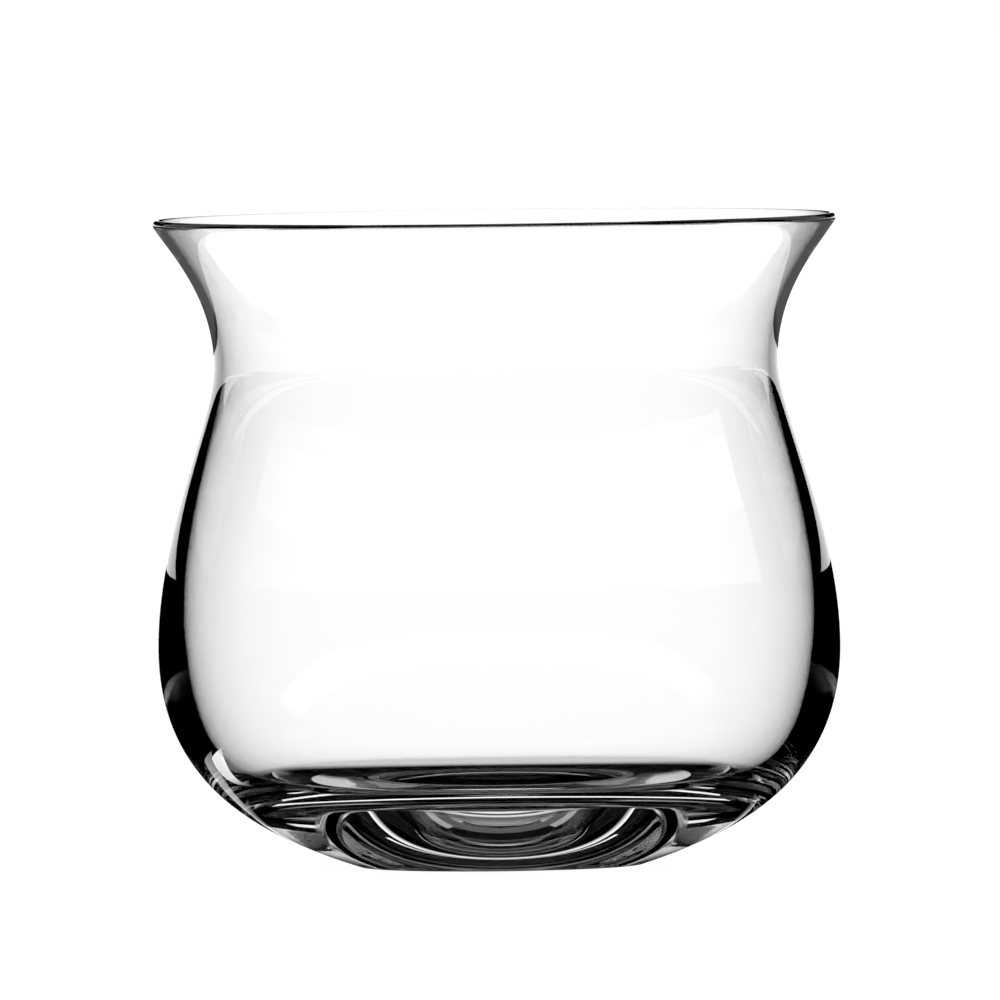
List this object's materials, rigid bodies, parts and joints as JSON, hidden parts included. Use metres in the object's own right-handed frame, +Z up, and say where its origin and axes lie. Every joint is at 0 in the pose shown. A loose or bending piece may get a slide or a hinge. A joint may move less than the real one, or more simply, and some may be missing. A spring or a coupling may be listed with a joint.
{
  "type": "whisky nosing glass",
  "caption": "Stemless whisky nosing glass in clear crystal: round belly, drawn-in neck, flared lip, and a thick base ground flat round a polished hollow.",
  "frame": {"origin": "centre of the flat ring that the glass stands on, at the level of the table", "axes": "+Z up along the axis that the glass is round about; X and Y are alike"},
  "size_m": [0.0842, 0.0842, 0.08],
  "materials": {
    "crystal": "clear, fire polished at the lip and polished on the base"
  },
  "bodies": {
    "root": {"nosing_glass": "crystal"}
  },
  "joints": []
}
